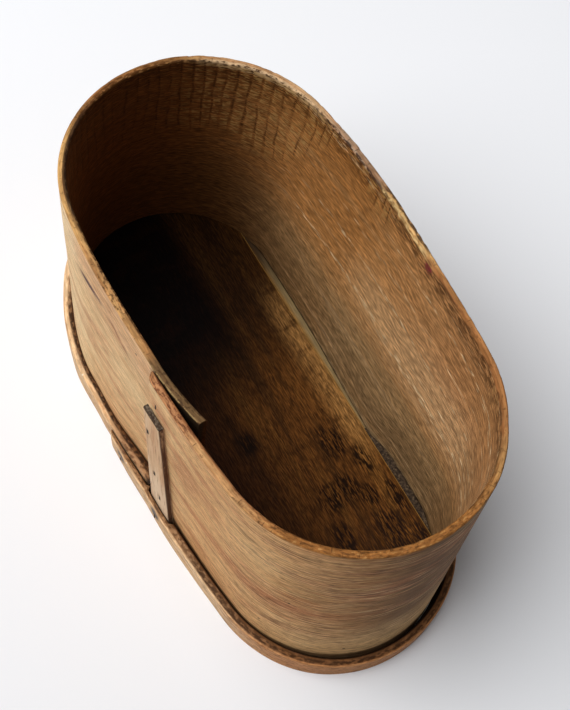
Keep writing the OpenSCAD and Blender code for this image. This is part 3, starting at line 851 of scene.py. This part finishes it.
def make_seam_piece(name, node, material, start, stop, lumps, taper):
    """A sliver between the board's free edge and the wall, with its own unevenness and tapered ends."""
    s = np.linspace(RUN / 2 - stop, RUN / 2 - start, int((stop - start) / 1.2))
    wall = inner_face(s)
    x, far = wall[:, :1], wall[:, 1:]
    near = BOARD_EDGE + FIT
    across = np.linspace(0, 1, 9)[None, :]
    ends = ease(np.minimum(s - s[0], s[-1] - s), -0.5, taper)[:, None]
    y = near + (far - near) * (across * (0.75 + 0.25 * ends))
    uneven = wander(x / 1.7, y / 1.7, 51) + 0.6 * wander(x / 4.5, y / 4.5, 52) - 0.8
    top_z = BOARD - SEAM_DEPTH - 0.25 * (1 - ends) + lumps * uneven
    top_z = top_z - 0.35 * (np.abs(across * 2 - 1) ** 6) * np.where(across > 0.5, 1.0, 0.3)
    points = slab(x, y, top_z, SEAM_DEPTH)
    shape = points.shape[:2]
    shares = np.broadcast_to(np.concatenate([across, across[:, ::-1]], axis=1), shape)
    piece(name, points, strip_faces(*shape), material, node, marks={"across": shares})


def pin_tree(name, round_pins):
    """Geometry Nodes tree that sets one pin on each point, along the point's own direction."""
    tree = bpy.data.node_groups.new(name, "GeometryNodeTree")
    face = tree.interface
    face.new_socket("Geometry", in_out="INPUT", socket_type="NodeSocketGeometry")
    for label in ("Width", "Height", "Length", "Roughness"):
        face.new_socket(label, in_out="INPUT", socket_type="NodeSocketFloat")
    face.new_socket("Material", in_out="INPUT", socket_type="NodeSocketMaterial")
    face.new_socket("Geometry", in_out="OUTPUT", socket_type="NodeSocketGeometry")
    given = put(tree, "NodeGroupInput").outputs
    if round_pins:
        radius = put(tree, "ShaderNodeMath", {0: given["Width"], 1: 0.5}, operation="MULTIPLY")
        pin = put(tree, "GeometryNodeMeshCylinder", {
            "Vertices": 12, "Side Segments": 6, "Radius": radius.outputs[0], "Depth": given["Length"]})
    else:
        size = put(tree, "ShaderNodeCombineXYZ", {0: given["Width"], 1: given["Height"], 2: given["Length"]})
        pin = put(tree, "GeometryNodeMeshCube", {
            "Size": size.outputs[0], "Vertices X": 3, "Vertices Y": 5, "Vertices Z": 8})
    aim = put(tree, "GeometryNodeInputNamedAttribute", {"Name": "aim"}, data_type="FLOAT_VECTOR")
    turn = put(tree, "FunctionNodeAlignRotationToVector", {"Vector": aim.outputs[0]}, axis="Z", pivot_axis="X")
    spots = put(tree, "GeometryNodeMeshToPoints", {"Mesh": given["Geometry"]})
    set_pins = put(tree, "GeometryNodeInstanceOnPoints", {
        "Points": spots.outputs[0], "Instance": pin.outputs[0], "Rotation": turn.outputs[0]})
    real = put(tree, "GeometryNodeRealizeInstances", {0: set_pins.outputs[0]})
    # Marks of hammer and knife, about 1 mm apart
    place = put(tree, "GeometryNodeInputPosition")
    uneven = put(tree, "ShaderNodeTexNoise", {"Vector": place.outputs[0], "Scale": 900.0, "Detail": 1.0})
    push = put(tree, "ShaderNodeVectorMath", {0: uneven.outputs[1], 1: (0.5, 0.5, 0.5)}, operation="SUBTRACT")
    push = put(tree, "ShaderNodeVectorMath", {0: push.outputs[0], "Scale": given["Roughness"]}, operation="SCALE")
    hewn = put(tree, "GeometryNodeSetPosition", {"Geometry": real.outputs[0], "Offset": push.outputs[0]})
    dressed = put(tree, "GeometryNodeSetMaterial", {"Geometry": hewn.outputs[0], "Material": given["Material"]})
    put(tree, "NodeGroupOutput", {0: dressed.outputs[0]})
    return tree


def make_pins(name, tree, places, aims, sizes, material, node):
    """One piece of all the pins of a node, with their sizes in millimetres."""
    spots = bpy.data.meshes.new(name + "_spots")
    spots.from_pydata((np.array(places) * MM).tolist(), [], [])
    directions = spots.attributes.new("aim", "FLOAT_VECTOR", "POINT")
    directions.data.foreach_set("vector", np.array(aims, np.float32).ravel())
    obj = add_object(name, spots)
    mod = obj.modifiers.new("pins", "NODES")
    mod.node_group = tree
    values = {label: size * MM for label, size in sizes.items()}
    values["Material"] = material
    for socket in tree.interface.items_tree:
        if socket.in_out == "INPUT" and socket.name in values:
            mod[socket.identifier] = values[socket.name]
    seen = bpy.context.evaluated_depsgraph_get()
    mesh = bpy.data.meshes.new_from_object(obj.evaluated_get(seen))
    obj.modifiers.clear()
    obj.data = mesh
    mesh.name = name
    stand_for(obj, node)


def make_nails(iron):
    """Flat nails straight through the lap side, each with its place, height and the offsets of its two ends."""
    tree = pin_tree("cut_sprigs", False)
    batten = []
    for z, inset in BATTEN_NAILS:
        s = batten_edge(z) + inset
        batten.append((s, z, FIT + BATTEN, -set_in(s, z) - WALL / 2))
    s, z = OUTER_END + LAP_NAIL_INSET, BATTEN_TOP + LAP_NAIL_RISE
    lap = [(s, z, 0.0, -set_in(s, z) - WALL / 2)]
    hoop = []
    for s in (HOOP_START + HOOP_NAIL_INSET, batten_edge(0) + BATTEN_FOOT_WIDTH / 2):
        out = hoop_over(s) + hoop_depth(s)
        hoop.append((s, HOOP_NAIL_Z, out, -set_in(s, HOOP_NAIL_Z) - WALL - HOOP_NAIL_BITE))
    for name, group, node in (
        ("batten_sprigs", batten, "batten_nails"), ("lap_sprig", lap, "lap_nail"), ("hoop_sprigs", hoop, "hoop_nails"),
    ):
        length = float(max(out - into for _, _, out, into in group))
        places = [on_wall(s, z, 0) - (0, out + NAIL_PROUD - length / 2, 0) for s, z, out, _ in group]
        sizes = {"Width": NAIL_WIDTH, "Height": NAIL_HEIGHT, "Length": length, "Roughness": NAIL_ROUGH}
        make_pins(name, tree, places, [(0, -1, 0)] * len(group), sizes, iron, node)


def make_pegs(wood):
    """Three pegs at each round end, through the foot of the wall into the board's edge."""
    middle = RIM["lap"]["half"] + RIM["end"] / 2
    places, aims = [], []
    for end in (middle, RUN - middle):
        for i in (-1, 0, 1):
            s = end + PEG_SPACING * i
            a, b = on_wall(s, PEG_Z, -2 * FIT), on_wall(s, PEG_Z, -PEG_LENGTH)
            places.append((a + b) / 2)
            aims.append((b - a) / np.linalg.norm(b - a))
    sizes = {"Width": PEG_DIAMETER, "Height": 0.0, "Length": PEG_LENGTH - 2 * FIT, "Roughness": PEG_ROUGH}
    make_pins("foot_pegs", pin_tree("whittled_pegs", True), places, aims, sizes, wood, "bottom_pegs")


# The camera as the pot's perspective gives it: focal length in pixels, its turn, tilt and roll in degrees, and the
# point on the table that it circles and its distance from there in metres.
PICTURE_HEIGHT = 710.0
FOCAL_LENGTH = 1500.0
CAMERA_TURN, CAMERA_TILT, CAMERA_ROLL = 48.33, 28.4, 13.56
CAMERA_MIDDLE = (-0.02438, 0.034, 0)
CAMERA_DISTANCE = 0.7515


def make_camera():
    data = bpy.data.cameras.new("camera")
    data.sensor_width = 36.0
    data.lens = FOCAL_LENGTH * data.sensor_width / PICTURE_HEIGHT
    data.clip_start, data.clip_end = 0.01, 50.0
    camera = add_object("camera", data)
    turn = (Matrix.Rotation(math.radians(CAMERA_TURN), 4, "Z") @ Matrix.Rotation(math.radians(CAMERA_TILT), 4, "X")
            @ Matrix.Rotation(math.radians(CAMERA_ROLL), 4, "Z"))
    camera.matrix_world = Matrix.Translation(CAMERA_MIDDLE) @ turn @ Matrix.Translation((0, 0, CAMERA_DISTANCE))
    bpy.context.scene.camera = camera


def seen_itself(tree):
    """1 where the background itself is seen, also in gloss and glass, and 0 for the light that it throws."""
    ray = put(tree, "ShaderNodeLightPath").outputs
    seen = put(tree, "ShaderNodeMath", {0: ray["Is Camera Ray"], 1: ray["Is Glossy Ray"]}, operation="MAXIMUM")
    return put(tree, "ShaderNodeMath", {0: seen.outputs[0], 1: ray["Is Transmission Ray"]},
               operation="MAXIMUM").outputs[0]


# Half the floor's width and the window's distance from the pot, in metres
FLOOR_REACH = 6.0
WINDOW_DISTANCE = 3.07


def make_stage():
    material, tree, place = new_material("white_paper_sweep")
    # White where it is seen, and greyer in the light it throws back, as beside a dark room
    paper = put(tree, "ShaderNodeMix", {0: seen_itself(tree), 6: srgb("#c9cbce"), 7: srgb("#eff0f3")},
                data_type="RGBA")
    # The paper is painted a little greyer towards the pot's near end than behind its far end: painted fall-off of the
    # light
    back = put(tree, "ShaderNodeVectorMath", {0: place, 1: (-0.896, 0.443, 0.0)}, operation="DOT_PRODUCT")
    painted_falloff = put(tree, "ShaderNodeMapRange", {
        "Value": back.outputs["Value"], "From Min": -0.17, "From Max": 0.23, "To Min": 0.92, "To Max": 1.05})
    paper = put(tree, "ShaderNodeMix", {0: 1.0, 6: paper.outputs[2], 7: painted_falloff.outputs[0]},
                data_type="RGBA", blend_type="MULTIPLY")
    shader = put(tree, "ShaderNodeBsdfPrincipled", {
        "Base Color": paper.outputs[2], "Roughness": 0.9, "Specular IOR Level": 0.0})
    put(tree, "ShaderNodeOutputMaterial", {"Surface": shader.outputs[0]})
    mesh = bpy.data.meshes.new("paper_floor")
    corners = [(x * FLOOR_REACH, y * FLOOR_REACH, 0) for x, y in ((-1, -1), (1, -1), (1, 1), (-1, 1))]
    mesh.from_pydata(corners, [], [(0, 1, 2, 3)])
    mesh.materials.append(material)
    floor = add_object("paper_floor", mesh)

    world = bpy.data.worlds.new("studio")
    bpy.context.scene.world = world
    world.use_nodes = True
    tree = world.node_tree
    tree.nodes.clear()
    strength = put(tree, "ShaderNodeMapRange", {"Value": seen_itself(tree), "To Min": 0.065, "To Max": 0.95})
    back = put(tree, "ShaderNodeBackground", {"Color": srgb("#f4f7fc"), "Strength": strength.outputs[0]})
    put(tree, "ShaderNodeOutputWorld", {"Surface": back.outputs[0]})

    # A large window high on the lap side, as wide as the soft shadow beside the pot asks for
    data = bpy.data.lights.new("window", "AREA")
    data.shape = "RECTANGLE"
    data.size, data.size_y = 2.8, 3.0
    data.energy = 132.0
    lamp = add_object("window", data)
    aim = Vector((-0.1759, -0.4353, 0.8829))
    lamp.location = aim * WINDOW_DISTANCE
    lamp.rotation_euler = aim.to_track_quat("Z", "Y").to_euler()


make_camera()
make_stage()
make_wall_band(bent_birch())
make_foot_hoop(hoop_birch())
make_batten(batten_pine())
make_board(pine_fat_stained_and_shaded())
make_seam_piece("packing_shim", "bottom_shim", grey_split_wood(), -SEAM_END, SHIM_END,
                lumps=0.05, taper=8.0)
make_seam_piece("seam_filler", "seam_pitch", gritty_pitch(), SHIM_END + FIT, SEAM_END,
                lumps=0.35, taper=12.0)
make_nails(rusted_iron())
make_pegs(whittled_birch())

bpy.context.scene.view_settings.view_transform = "Standard"
